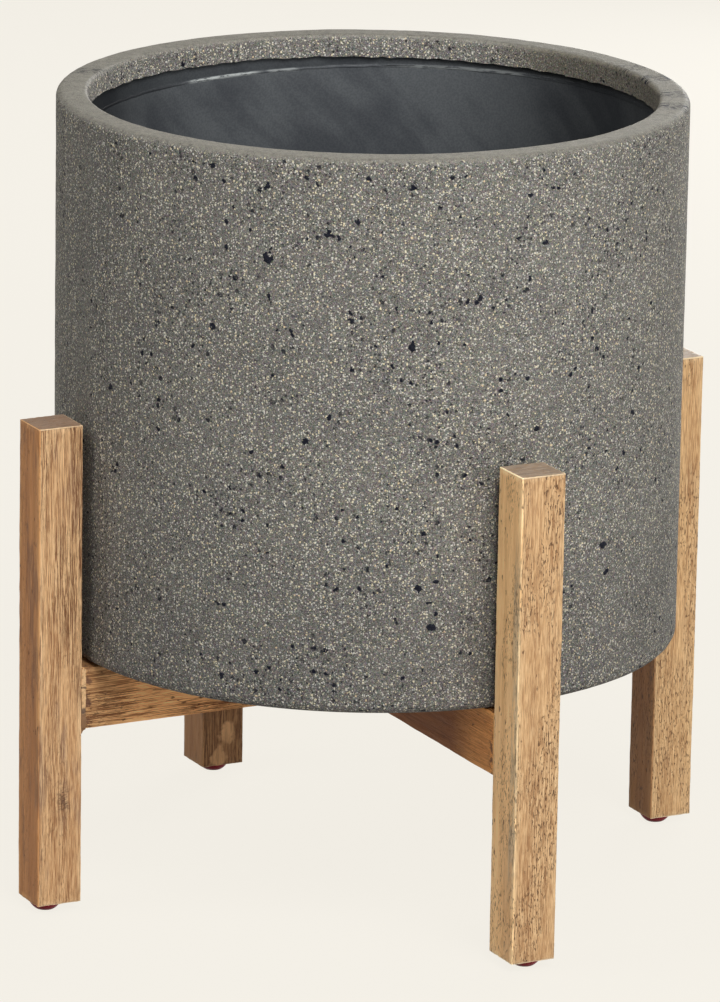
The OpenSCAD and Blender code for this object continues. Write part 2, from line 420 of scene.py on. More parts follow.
@dataclass(frozen=True)
class ChipStone:
    """Near-black mineral with a blue cast and a broken face."""

    dark: Colour = (0.004, 0.005, 0.011)
    pale: Colour = (0.026, 0.027, 0.038)

    def material(self) -> Material:
        """Builds the finish.

        Returns:
            The finish for the single large chips.
        """
        n = Nodes("dark_chips")
        point = n.place()
        mottle = n.noise(point, 1.4, 3)
        base = n.blend(n.ease(mottle, 0.45, 0.70), self.dark, self.pale)
        return n.surface(base, n.ease(mottle, 0.3, 0.7, 0.5, 0.8), n.relief(mottle, 0.3), 0.12)


@dataclass(frozen=True)
class SlateLiner:
    """Satin dark slate skin with faint slanting wipes and pale powdery bits, painted light and shade round the wall,
    painted shade under the gritty band and painted highlights on its bead.

    Each highlighted stretch in scratched has its middle and half its length in degrees, and its strength.
    """

    bead_z: float
    radius: float
    tilt: float
    deep: Colour = (0.058, 0.062, 0.068)
    washed: Colour = (0.088, 0.094, 0.099)
    chalk_and_glint: Colour = (0.52, 0.55, 0.54)
    glint_stretches: tuple[tuple[float, float, float], ...] = ((95.5, 8.4, 1.0), (82.0, 3.4, 0.55), (44.0, 14.0, 0.45))

    def material(self) -> Material:
        """Builds the finish.

        Returns:
            The finish for the liner.
        """
        n = Nodes("slate_liner")
        point = n.place()
        x, y, z = n.split(point)
        turn = n.math("ARCTAN2", y, x)
        along = turn * -self.radius
        slanted = n.join((along * 0.70 + z * 0.71) * 0.075, (along * 0.71 - z * 0.70) * 0.014, 0.0)
        wipes = n.noise(slanted, 1.0, 3, 0.55)
        clouds = n.noise(point, 0.013, 3)
        wash = n.ease(wipes * 0.36 + clouds * 0.64, 0.40, 0.62)
        fine = n.noise(point, 0.8, 3)
        base = n.blend(wash, self.deep, self.washed)
        # Painted light where the wall faces the lamps, painted shade round the rest.
        painted_light_and_shade = n.ease(n.math("COSINE", turn - radians(75)), 0.45, 1.0, 0.55, 1.50)
        base = n.vector("MULTIPLY", base, n.join(painted_light_and_shade, painted_light_and_shade, painted_light_and_shade))

        crest = z - x * (self.tilt / self.radius) - self.bead_z
        on_bead = 1 - n.ease(abs(crest), 0.6, 1.5)
        strokes = n.noise(n.join(along * 0.13, crest * 0.8, 0.0), 1.0, 4, 0.7)
        # Painted highlights along the bead: strong stretches and faint strokes.
        bead_glints: Value = 0.0
        for degrees, reach, strength in self.glint_stretches:
            off = abs(turn - radians(degrees)) * (180 / pi)
            near = 1 - n.ease(off, reach * 0.7, reach * 1.15)
            bead_glints = n.larger(bead_glints, near * strength * n.ease(strokes, 0.40, 0.52))
        bead_glints = n.larger(bead_glints, n.ease(strokes, 0.60, 0.70) * 0.22) * on_bead
        bits = n.ease(n.split(n.cells(point, 0.03, "Color"))[0], 0.66, 0.68)
        bits = bits * (1 - n.ease(n.cells(n.shift(point, 0.8, 1.5), 0.03) / 0.03, 0.7, 1.5))
        # Painted shade on the bead's left stretch, which gets no painted highlight there.
        shaded_bead = n.ease(turn, radians(103), radians(110)) * on_bead
        base = n.layers(
            base,
            (n.ease(fine, 0.35, 0.65), (0.78, 0.80, 0.82), "MULTIPLY"),
            # Painted shade under the gritty band's overhang, above the bead.
            (n.ease(crest, 0.8, 2.0), (0.66, 0.67, 0.68), "MULTIPLY"),
            (shaded_bead, (0.50, 0.50, 0.52), "MULTIPLY"),
            # The painted highlights and the pale powdery bits share one colour.
            (n.larger(bead_glints * (1 - shaded_bead), bits * 0.8), self.chalk_and_glint),
        )
        rough = n.ease(wash + fine * 0.5, 0.2, 1.2, 0.40, 0.58)
        return n.surface(base, rough, n.relief(fine * 0.35 + wipes, 0.25, 0.6), 0.22)


@dataclass(frozen=True)
class WoodLook:
    """How one timber differs from the others.

    It is tinted by tone, which holds painted light and shade besides its own colour, by side on its left face, partly
    painted light and shade, and by end on its ends. Its furrows are as dark as furrow says, crowded near one edge and
    mellow lower down; fine and run are the fibres' pace across and along. Its pits, grey stains, bruises and arrises,
    rubbed pale and with painted highlights, come next, then painted shade under the pot towards the middle and painted
    shade towards the ends. Each blot has its height from the middle and how tall it is, and each filler its place and
    its strength.
    """

    tone: Colour = (1.0, 1.0, 1.0)
    side: Colour = (1.0, 1.0, 1.0)
    furrow: float = 0.6
    crowded: float = 0.0
    mellow: float = 0.0
    fine: float = 1.25
    run: float = 0.03
    pits: float = 0.3
    grey: float = 0.3
    bruise: float = 0.3
    rubbed_and_highlit: float = 0.35
    inner: float = 0.0
    inner_span: Pair = (22.0, 62.0)
    outer: float = 0.0
    end: Colour = (1.0, 1.0, 1.0)
    stained_ends: float = 0.0
    blots: tuple[Pair, ...] = ()
    knot: Vector | None = None
    fillers: tuple[tuple[Vector, float], ...] = ()


@dataclass(frozen=True)
class WornWood:
    """Brushed golden hardwood: dark furrows, pale fibres, pits, rubbed arrises and weathered ends."""

    name: str
    low: Vector
    high: Vector
    grain: Grain
    seed: float
    look: WoodLook
    gold: Colour = (0.680, 0.415, 0.200)
    tan: Colour = (0.520, 0.292, 0.132)
    brown: Colour = (0.180, 0.078, 0.032)
    pale: Colour = (0.880, 0.620, 0.345)
    pore: Colour = (0.060, 0.025, 0.012)
    stain: Colour = (0.250, 0.155, 0.108)
    dusty: Colour = (0.330, 0.260, 0.180)
    weathered: Colour = (0.420, 0.325, 0.245)
    umber: Colour = (0.330, 0.210, 0.120)
    worn_end: Colour = (1.0, 0.80, 0.52)
    knot_heart: Colour = (0.085, 0.045, 0.030)
    joint_stain: Colour = (0.085, 0.045, 0.034)
    under_pot_shade: Colour = (0.36, 0.27, 0.18)
    filled: Colour = (1.62, 1.20, 0.72)

    def material(self) -> Material:
        """Builds the finish.

        Returns:
            The finish for one leg or bar.
        """
        n = Nodes(self.name)
        look = self.look
        seed = self.seed
        point = n.place()
        middle = tuple((self.low + self.high) / 2 / MM)
        half = tuple((self.high - self.low) / 2 / MM)
        parts = n.split(n.vector("SUBTRACT", point, middle))
        u, v, w = (parts[i] for i in self.grain.value)
        hu, hv, hw = (half[i] for i in self.grain.value)

        def at(across: float, along: float, shift: float = 1.0) -> Wire:
            """The point squeezed across and along the fibres, elsewhere in the noise for each piece."""
            return n.join(u * across, v * across, w * along + seed * shift)

        sway = n.noise(at(0.01, 0.007)) - 0.5
        au, av = u + sway * 7, v + sway * 4
        if look.knot is not None:
            spot = tuple((look.knot / MM - Vector(middle))[i] for i in self.grain.value)
            away = n.length(n.vector("SUBTRACT", n.join(u, v, w), spot), (1.0, 1.0, 0.40))
            au = au + (1 - n.ease(away, 1.0, 8.0)) * 1.4
        broad = n.noise(n.join(au, av, w * 0.05 + seed * 3), 0.10, 3)
        lines = n.noise(n.join(au, av, w * look.run + seed * 5), look.fine, 3, 0.62)
        hairs = n.noise(n.join(au, av, w * 0.040 + seed * 7), 2.6, 2, 0.6)
        patch = n.noise(at(0.06, 0.014, 9))
        strength = n.ease(patch, 0.36, 0.60, 0.6 * look.furrow, look.furrow)
        strength = strength * n.ease(w, -0.3 * hw, 0.3 * hw, 1 - look.mellow, 1.0)
        bands = n.noise(n.join(au * 0.42, av * 0.42, w * look.run * 0.5 + seed * 4))
        crowd = n.ease(u, -0.1 * hu, 0.7 * hu) * n.ease(w, -0.2 * hw, 0.6 * hw) * look.crowded

        flecks = n.ease(n.noise(n.shift(at(1.25, 0.30), 0.5, 1.2)), 0.58, 0.63)
        flecks = flecks * n.ease(patch, 0.40, 0.54) * look.pits * 2.0
        holes_at = n.shift(at(0.36, 0.15), 2.2, 0.9, 3)
        hole_kind = n.split(n.cells(holes_at, 1.0, "Color"))[1]
        holes = n.ease(hole_kind, 1 - look.pits * 0.5, 1.02 - look.pits * 0.5)
        holes = n.larger(holes * (1 - n.ease(n.cells(holes_at, 1.0), 0.14, 0.34)), n.smaller(flecks, 1.0))

        du, dv, dw = hu - abs(u), hv - abs(v), hw - abs(w)
        nearest = n.smaller(n.smaller(du, dv), dw)
        farthest = n.larger(n.larger(du, dv), dw)
        arris = du + dv + dw - nearest - farthest
        chipped = n.noise(at(0.3, 0.05), 1.0, 4, 0.65)
        rubbed = n.larger(n.ease(chipped, 0.49, 0.60), 0.8 * (1 - n.ease(dw, 1.0, 2.0)))
        wear = (1 - n.ease(arris, 0.7, 1.5)) * rubbed
        # A pale band along the arrises: partly rubbed wood, partly a painted highlight.
        rubbed_and_highlit_band = (1 - n.ease(arris, 2.0, 5.0)) * n.ease(n.noise(at(0.1, 0.02), 1.0, 3), 0.40, 0.56)
        end = 1 - n.ease(dw, 0.9, 1.7)
        on_side = 1 - n.ease(u + hu, 1.1, 1.9)
        calm = 1 - 0.72 * on_side
        beside = on_side * (1 - n.ease(v + hv + (broad - 0.5) * 10, 6.0, 9.0)) * n.ease(abs(w), 130.0, 80.0)
        bruised = beside * n.ease(chipped * 0.6 + lines * 0.4, 0.42, 0.52) * look.bruise

        base = n.layers(
            n.blend(n.ease(broad, 0.36, 0.64), self.tan, self.gold),
            (rubbed_and_highlit_band * look.rubbed_and_highlit, self.pale),
            (n.ease(n.noise(at(0.10, 0.022, 2), 1.0, 4, 0.6), 0.50, 0.66) * look.grey, self.stain),
            (n.ease(bands, 0.50, 0.36) * 0.42 * strength * calm, self.brown),
            (n.ease(bands, 0.52, 0.64) * 0.42 * strength * calm, self.pale),
            (n.ease(lines, 0.52, 0.43) * strength * calm, self.brown),
            (n.ease(lines, 0.51, 0.57) * strength * (1 - 0.7 * crowd) * calm, self.pale),
            (n.ease(lines, 0.56, 0.46) * crowd * calm, self.brown),
            (n.ease(hairs, 0.48, 0.38) * 0.42 * calm, self.brown),
            (n.ease(hairs, 0.53, 0.62) * 0.50 * calm, self.pale),
        )
        if look.knot is not None:
            knot = 1 - n.ease(away + (n.noise(point, 0.30, 4) - 0.5) * 9, 1.0, 6.0)
            ripple = n.noise(at(0.5, 1.1), 1.0, 3, 0.7)
            base = n.blend(knot * n.ease(ripple, 0.38, 0.60, 0.25, 0.85), base, self.knot_heart)
        base = n.layers(
            base,
            (holes * 0.80, self.pore),
            (bruised * 0.7, self.dusty),
            (bruised * n.ease(lines, 0.48, 0.42), self.pore),
            (wear * 0.60, self.pale),
        )
        # Painted shade towards the bar's ends.
        if look.outer:
            base = n.blend(n.ease(dw, 42.0, 4.0), base, (1 - look.outer,) * 3, "MULTIPLY")
        if look.stained_ends:
            blot = n.ease(n.noise(point, 0.16, 4, 0.6), 0.50, 0.58) * (1 - n.ease(dw, 2.5, 8.0))
            wobble = (n.noise(point, 0.30, 4, 0.6) - 0.5) * 12
            for up, tall in look.blots:
                off = abs(u + wobble - up) - tall / 2
                blot = n.larger(blot, (1 - n.ease(off, -1.5, 1.2)) * (1 - n.ease(dw - wobble, 4.2, 6.8)))
            base = n.blend(blot * look.stained_ends, base, self.joint_stain)
        # Painted shade of the pot above, darker towards the bar's middle.
        if look.inner:
            under_pot_shade = n.ease(dw + (broad - 0.5) * 30, *look.inner_span) * look.inner
            base = n.blend(under_pot_shade, base, self.under_pot_shade, "MULTIPLY")
        rings = n.noise(n.join(u * 0.10, v * 0.60, w * 0.05 + seed), 1.0, 3, 0.6)
        end_tone = n.layers(
            n.blend(n.ease(rings, 0.34, 0.62), tinted(self.weathered, 0.66), self.weathered),
            (n.ease(n.noise(point, 0.22, 4, 0.65), 0.47, 0.60) * 0.55, self.umber),
            (1.0, look.end, "MULTIPLY"),
        )
        base = n.layers(base, (end * (1 - wear), end_tone), (end * wear * 0.9, self.worn_end))
        for centre, amount in look.fillers:
            spot = n.vector("SUBTRACT", n.shift(point, 0.13, 12, 3), tuple(centre / MM))
            gap = n.length(spot, (1.0, 0.5, 0.62))
            fill = (1 - n.ease(gap, 3.6, 6.2)) * n.ease(chipped, 0.36, 0.56, 0.50, 0.95)
            base = n.blend(fill * amount, base, self.filled)
        # Painted light and shade along with the wood's own colour: one tint for the whole piece and one for its left
        # face.
        base = n.layers(base, (1.0, look.tone, "MULTIPLY"), (on_side, look.side, "MULTIPLY"))

        height = lines * strength * 1.3 * calm + hairs * 0.5 - holes * 0.9 - bruised * 0.5
        return n.surface(base, n.ease(lines, 0.3, 0.7, 0.66, 0.52), n.relief(height, 0.50, 0.85), 0.28)


@dataclass(frozen=True)
class Filler:
    """Dried wood filler: pale above, brown below, with painted shade in its cracks, each with a height over the bar's
    foot and a size.
    """

    low_z: float
    tint: Colour = (0.80, 0.50, 0.25)
    brown: Colour = (0.24, 0.125, 0.058)
    gap: Colour = (0.060, 0.030, 0.026)
    shaded_breaks: tuple[Pair, ...] = ((27.8, 1.6), (12.4, 4.2))

    def material(self) -> Material:
        """Builds the finish.

        Returns:
            The finish for the joints' filler.
        """
        n = Nodes("joint_filler")
        point = n.place()
        mottle = n.noise(point, 0.5, 4, 0.6)
        up = n.split(point)[2] - self.low_z + (mottle - 0.5) * 4
        base = n.blend(n.ease(mottle, 0.46, 0.64) * 0.5, self.tint, self.brown)
        base = n.blend(n.ease(up, 11.5, 9.5), base, self.brown)
        # Painted shade in the filler's cracks.
        for middle, tall in self.shaded_breaks:
            base = n.blend((1 - n.ease(abs(up - middle), tall * 0.2, tall * 0.7)) * 0.85, base, self.gap)
        return n.surface(base, 0.8, n.relief(mottle, 0.5))


@dataclass(frozen=True)
class Moulded:
    """Moulded plastic or rubber: even colour, slight mottle, fine scuffs."""

    name: str
    colour: Colour
    gloss: float
    grit: float
    sheen: float = 0.25

    def material(self) -> Material:
        """Builds the finish.

        Returns:
            The finish for a moulded piece.
        """
        n = Nodes(self.name)
        point = n.place()
        mottle = n.noise(point, 0.25, 3)
        scuff = n.noise(n.scaled(point, (0.35, 2.2, 0.9)), 1.0, 4, 0.7)
        worn = n.ease(scuff, 0.58, 0.72)
        scuffed = tuple(min(1.0, c * 1.6 + 0.02) for c in self.colour)
        base = n.blend(worn * 0.35 + mottle * 0.2, self.colour, scuffed)
        rough = n.ease(worn + mottle * 0.4, 0.2, 1.2, self.gloss, self.gloss + 0.25)
        return n.surface(base, rough, n.relief(n.noise(point, 1.8, 3), 0.12, self.grit), self.sheen)


@dataclass(frozen=True)
class ZincSteel:
    """Bright plated steel with fine turning marks."""

    name: str = "zinc_steel"
    colour: Colour = (0.62, 0.63, 0.65)
    tarnished: Colour = (0.42, 0.40, 0.34)

    def material(self) -> Material:
        """Builds the finish.

        Returns:
            The finish for the screw and the nails.
        """
        n = Nodes(self.name)
        point = n.place()
        brushed = n.noise(n.scaled(point, (1.2, 1.2, 9.0)), 1.0, 3, 0.6)
        tarnish = n.noise(point, 0.3, 3)
        base = n.blend(n.ease(tarnish, 0.5, 0.8) * 0.5, self.colour, self.tarnished)
        return n.surface(base, n.ease(brushed, 0.3, 0.7, 0.22, 0.42), n.relief(brushed, 0.05, 0.5), metallic=1.0)


@dataclass(frozen=True)
class PlainBeech:
    """Pale turned beech with short flecks."""

    name: str = "plain_beech"
    colour: Colour = (0.62, 0.45, 0.27)
    fleck: Colour = (0.38, 0.22, 0.11)

    def material(self) -> Material:
        """Builds the finish.

        Returns:
            The finish for the dowels.
        """
        n = Nodes(self.name)
        point = n.place()
        flecks = n.noise(n.scaled(point, (0.5, 0.5, 1.6)), 1.0, 4, 0.6)
        base = n.blend(n.ease(flecks, 0.55, 0.72) * 0.6, self.colour, self.fleck)
        return n.surface(base, 0.6, n.relief(flecks, 0.1))


def clear() -> None:
    """Selects nothing."""
    for other in bpy.context.view_layer.objects:
        other.select_set(False)


def only(piece: Piece) -> None:
    """Makes one piece the only selected and the active one.

    Args:
        piece: That piece.
    """
    clear()
    piece.select_set(True)
    bpy.context.view_layer.objects.active = piece


@contextmanager
def editing(piece: Piece, kind: str = "VERT") -> Iterator[None]:
    """Edit mode on one piece.

    Args:
        piece: The piece to edit.
        kind: What is selected: VERT, EDGE or FACE.

    Yields:
        Nothing; the mode is left at the end.
    """
    only(piece)
    bpy.ops.object.mode_set(mode="EDIT")
    bpy.ops.mesh.select_mode(type=kind)
    yield
    bpy.ops.object.mode_set(mode="OBJECT")


def everything() -> None:
    """Selects the whole mesh, in edit mode."""
    bpy.ops.mesh.select_all(action="SELECT")


def pick(piece: Piece, kind: str, test: Callable[[object], bool]) -> None:
    """Selects what passes a test, in edit mode.

    Args:
        piece: The piece that is being edited.
        kind: verts or edges.
        test: Tells whether an element is wanted.
    """
    bpy.ops.mesh.select_all(action="DESELECT")
    for element in getattr(bmesh.from_edit_mesh(piece.data), kind):
        if test(element):
            element.select_set(True)
    bmesh.update_edit_mesh(piece.data)


def divide(piece: Piece, axis: int, cuts: int) -> None:
    """Subdivides the edges that run along an axis, in edit mode.

    Args:
        piece: The piece that is being edited.
        axis: 0, 1 or 2 for X, Y or Z.
        cuts: How many cuts each edge gets.
    """

    def is_along(edge: bmesh.types.BMEdge) -> bool:
        """Whether an edge is parallel to the axis."""
        span = edge.verts[1].co - edge.verts[0].co
        return abs(span[axis]) > 0.999 * span.length

    pick(piece, "edges", is_along)
    bpy.ops.mesh.subdivide(number_cuts=cuts)


def settle(piece: Piece) -> None:
    """Puts a piece's place, turn and size into its mesh."""
    only(piece)
    bpy.ops.object.transform_apply(location=True, rotation=True, scale=True)


def added(name: str) -> Piece:
    """Finishes the primitive that was added last: names it, and puts its place, turn and size into its mesh.

    Args:
        name: Its name.

    Returns:
        The piece.
    """
    piece = bpy.context.object
    piece.name = piece.data.name = name
    settle(piece)
    return piece


def block(name: str, low: Vector, high: Vector) -> Piece:
    """A box primitive.

    Args:
        name: Its name.
        low: Its lowest corner, in metres.
        high: Its highest corner.

    Returns:
        The box.
    """
    clear()
    bpy.ops.mesh.primitive_cube_add(size=1, location=(low + high) / 2, scale=high - low)
    return added(name)


def peg(low: Vector, high: Vector, radius: float, sides: int = 32) -> Piece:
    """A round cutter.

    Args:
        low: The middle of one end, in metres.
        high: The middle of the other.
        radius: Its radius in millimetres.
        sides: How many sides it has.

    Returns:
        The cutter.
    """
    span = high - low
    clear()
    bpy.ops.mesh.primitive_cylinder_add(
        vertices=sides, radius=radius * MM, depth=span.length, location=(low + high) / 2,
        rotation=span.to_track_quat("Z", "Y").to_euler(),
    )
    return added("peg")


def bend(centre: Pair, radius: float, start: float, end: float, steps: int, spans: int) -> list[Corner]:
    """A rounded corner of a profile.

    Args:
        centre: Its centre.
        radius: Its radius.
        start: Its first angle in degrees.
        end: Its last angle.
        steps: How many spans it has.
        spans: How many spans lead on from its last point.

    Returns:
        Its corners, first and last included.
    """
    turns = [radians(start + (end - start) * i / steps) for i in range(steps + 1)]
    corners = [(centre[0] + radius * cos(t), centre[1] + radius * sin(t), 1) for t in turns]
    return [*corners[:-1], (*corners[-1][:2], spans)]


def turned(name: str, corners: Sequence[Corner], steps: int) -> Piece:
    """A round piece: a point drawn along a closed profile and spun about Z.

    Args:
        name: The piece's name.
        corners: Radius, height, and how many spans lead on to the next corner.
        steps: Faces round the piece.

    Returns:
        The spun piece, merged and facing outwards.
    """
    points = [
        tuple(a * MM + (b * MM - a * MM) * i / spans for a, b in ((r, r_next), (z, z_next)))
        for (r, z, spans), (r_next, z_next, _) in zip(corners, [*corners[1:], corners[0]])
        for i in range(spans)
    ]
    clear()
    bpy.ops.mesh.primitive_plane_add(size=MM, location=(points[0][0], 0, points[0][1]))
    piece = added(name)
    with editing(piece):
        everything()
        bpy.ops.mesh.merge(type="CENTER")
        for last, point in zip(points, [*points[1:], points[0]]):
            step = (point[0] - last[0], 0, point[1] - last[1])
            bpy.ops.mesh.extrude_region_move(TRANSFORM_OT_translate={"value": step})
        everything()
        bpy.ops.mesh.remove_doubles(threshold=1e-6)
        everything()
        bpy.ops.mesh.spin(steps=steps, angle=FULL_TURN, center=(0, 0, 0), axis=(0, 0, 1))
        everything()
        bpy.ops.mesh.remove_doubles(threshold=2e-6)
        everything()
        bpy.ops.mesh.normals_make_consistent(inside=False)
    return piece


def group(piece: Piece, name: str, test: Callable[[Vector], bool]) -> str:
    """Names some vertices, for a modifier to act on.

    Args:
        piece: The piece that has them.
        name: The name of the group.
        test: Tells whether the vertex at a point is wanted.

    Returns:
        The name.
    """
    made = piece.vertex_groups.new(name=name)
    made.add([v.index for v in piece.data.vertices if test(v.co)], 1.0, "REPLACE")
    return name


def dent(
    piece: Piece, depth: float, size: float, stretch: Sequence[float] = (1, 1, 1), seed: float = 0.0,
    area: str = "", direction: str = "NORMAL", level: float = 1.0, layers: int = 2,
) -> None:
    """Displaces a piece by soft noise and applies it.

    Args:
        piece: The piece to displace.
        depth: The noise's whole range in millimetres.
        size: The size of its lumps in millimetres.
        stretch: How much longer the lumps are on each axis.
        seed: Moves the noise elsewhere.
        area: The vertex group that it acts on.
        direction: NORMAL, or an axis.
        level: 1 to press in only, 0.5 for both ways.
        layers: How many finer layers the noise has.
    """
    texture = bpy.data.textures.new(piece.name + "_lumps", "CLOUDS")
    texture.noise_scale = size * MM
    texture.noise_depth = layers
    bpy.ops.object.empty_add(location=(seed, seed * 0.7, seed * 1.3))
    guide = bpy.context.object
    guide.scale = stretch
    bpy.context.view_layer.update()
    only(piece)
    bpy.ops.object.modifier_add(type="DISPLACE")
    lumps = piece.modifiers[-1]
    lumps.texture = texture
    lumps.texture_coords = "OBJECT"
    lumps.texture_coords_object = guide
    lumps.direction = direction
    lumps.mid_level = level
    lumps.strength = depth * MM
    lumps.vertex_group = area
    bpy.ops.object.modifier_apply(modifier=lumps.name)
    bpy.data.objects.remove(guide)


def cut(piece: Piece, cutters: Sequence[Piece]) -> None:
    """Cuts shapes out of a piece.

    Args:
        piece: The piece to cut.
        cutters: The shapes, which are removed.
    """
    for cutter in cutters:
        only(piece)
        bpy.ops.object.modifier_add(type="BOOLEAN")
        cutting = piece.modifiers[-1]
        cutting.operation = "DIFFERENCE"
        cutting.solver = "MANIFOLD"
        cutting.object = cutter
        bpy.ops.object.modifier_apply(modifier=cutting.name)
        bpy.data.objects.remove(cutter)


def joined(pieces: Sequence[Piece], name: str) -> Piece:
    """Several pieces made into one.

    Args:
        pieces: The pieces.
        name: The name of the whole.

    Returns:
        The first piece, which now holds all.
    """
    only(pieces[0])
    for piece in pieces:
        piece.select_set(True)
    bpy.ops.object.join()
    pieces[0].name = pieces[0].data.name = name
    return pieces[0]


def smooth(piece: Piece, degrees: float) -> None:
    """Smooth shading, with edges sharper than an angle kept."""
    only(piece)
    bpy.ops.object.shade_smooth_by_angle(angle=radians(degrees))


def dress(piece: Piece, finish: Material) -> None:
    """Gives a piece its one material."""
    piece.data.materials.clear()
    piece.data.materials.append(finish)


def finished(piece: Piece, body: Body, slot: str, finish: Material, *nodes: str) -> None:
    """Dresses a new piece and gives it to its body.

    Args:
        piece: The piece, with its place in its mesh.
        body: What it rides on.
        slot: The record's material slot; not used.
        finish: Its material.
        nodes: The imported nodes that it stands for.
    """
    dress(piece, finish)
    if nodes:
        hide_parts(*nodes)
    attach(piece, body.value)
    LOG.info("%s: %d faces on %s", piece.name, len(piece.data.polygons), body.value)


@dataclass
class StonePot:
    """The coated shell: straight wall, thick rounded rim, short gritty band inside, hollow underside.

    Each chip has its place round the wall in degrees, then its height, width and tallness.
    """

    pot_r: float = 200.0
    rim_w: float = 20.5
    lip_h: float = 14.0
    floor_t: float = 18.0
    rim_r: float = 4.6
    inner_rim_r: float = 3.2
    base_r: float = 6.0
    ring_w: float = 40.0
    recess_h: float = 4.0
    inner_r: float = 186.3
    drain_r: float = 12.0
    steps: int = 360
    chip_sunk: float = 1.1
    chip_depth: float = 2.8
    chip_shrinks: float = 1.25
    chips: tuple[tuple[float, float, float, float], ...] = (
        (-105.2, 216.6, 7.0, 7.1), (-69.7, 254.0, 8.5, 5.1), (-128.1, 333.3, 6.3, 5.1), (-135.3, 446.5, 8.5, 8.0),
        (-124.6, 464.4, 5.6, 7.1), (-109.6, 393.8, 5.0, 7.8), (-107.7, 241.4, 5.0, 6.4), (-145.7, 399.3, 4.9, 5.1),
        (-124.0, 201.3, 5.0, 4.5), (-120.3, 410.3, 4.3, 4.5), (-85.9, 337.0, 5.0, 5.1), (-135.6, 490.7, 4.5, 5.8),
        (-146.0, 499.9, 5.6, 5.1), (-72.5, 381.8, 4.3, 5.1), (-122.8, 461.3, 4.3, 3.8), (-123.9, 349.1, 3.7, 4.5),
        (-68.6, 236.0, 5.5, 3.8), (-135.0, 422.7, 2.5, 5.8), (-143.2, 178.6, 3.4, 4.5), (-61.9, 333.6, 4.0, 5.1),
        (-88.2, 369.5, 4.9, 4.5), (-106.9, 276.3, 4.4, 3.2), (-170.3, 346.2, 5.1, 5.1), (-88.3, 484.4, 4.9, 3.2),
        (-97.5, 422.9, 3.2, 5.1), (-119.5, 472.0, 3.7, 4.5), (-136.2, 309.5, 4.6, 3.8), (-104.6, 225.3, 3.8, 3.8),
        (-64.3, 310.1, 4.0, 4.5), (-66.2, 300.3, 3.8, 4.5), (-88.1, 432.1, 4.2, 5.1), (-112.4, 418.0, 2.4, 5.1),
        (-115.9, 394.9, 3.0, 3.2), (-143.2, 466.1, 3.4, 3.8), (-85.1, 453.9, 5.8, 3.8), (-117.6, 498.7, 3.7, 3.2),
        (-130.9, 401.7, 3.1, 3.8), (-143.0, 224.6, 4.1, 3.2), (-104.7, 245.6, 5.1, 3.2), (-105.8, 232.2, 4.4, 2.5),
        (-121.3, 291.2, 3.7, 2.5), (-143.2, 450.1, 2.7, 4.5), (-74.0, 405.0, 3.3, 3.8), (-137.9, 323.7, 3.3, 3.2),
    )

    def build(self) -> None:
        """Makes the shell and its largest chips."""
        low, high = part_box("pot_shell")
        base, rim = low.z / MM, high.z / MM
        mouth = self.pot_r - self.rim_w
        lip, floor, under = rim - self.lip_h, base + self.floor_t, base + self.recess_h
        ring = self.pot_r - self.ring_w
        soft = self.inner_rim_r
        shell = turned("stone_pot", [
            (self.drain_r, under, 14), (ring, under, 2), (ring, base, 6),
            *bend((self.pot_r - self.base_r, base + self.base_r), self.base_r, -90, 0, 5, 96),
            *bend((self.pot_r - self.rim_r, rim - self.rim_r), self.rim_r, 0, 90, 6, 6),
            *bend((mouth + soft, rim - soft), soft, 90, 180, 6, 6),
            (mouth, lip, 4), (self.inner_r, lip, 10), (self.inner_r, floor, 14), (self.drain_r, floor, 6),
        ], self.steps)

        hem = group(shell, "hem", lambda p: abs(p.z - lip * MM) < 1.2 * MM and p.xy.length < (mouth + 4.2) * MM)
        dent(shell, 2.8, 8.0, seed=0.31, area=hem, direction="Z", layers=3)
        coat = group(shell, "coat", lambda p: p.xy.length > (mouth - 1) * MM and p.z > base * MM)
        dent(shell, 0.30, 11.0, seed=0.13, area=coat, layers=1)
        dent(shell, 0.40, 45.0, seed=0.57, area=coat)
        smooth(shell, 50)
        finished(shell, Body.POT, "stone", StoneCoat(rim, self.pot_r, mouth).material(), "pot_shell")
        self.build_chips()

    def build_chips(self) -> None:
        """Sets the largest dark chips into the wall, almost flush."""
        made = []
        for i, (degrees, height, wide, tall) in enumerate(self.chips):
            turn = radians(degrees)
            out = Vector((cos(turn), sin(turn), 0))
            clear()
            bpy.ops.mesh.primitive_ico_sphere_add(
                subdivisions=4, radius=0.5 * MM, rotation=(0, 0, turn),
                location=out * (self.pot_r - self.chip_sunk) * MM + Vector((0, 0, height * MM)),
                scale=(self.chip_depth, self.chip_shrinks * wide, self.chip_shrinks * tall),
            )
            made.append(added(f"chip_{i}"))
            dent(made[-1], 1.6, 2.2, seed=0.05 * i, level=0.70, layers=3)
        chips = joined(made, "coat_chips")
        smooth(chips, 40)
        finished(chips, Body.POT, "stone", ChipStone().material())


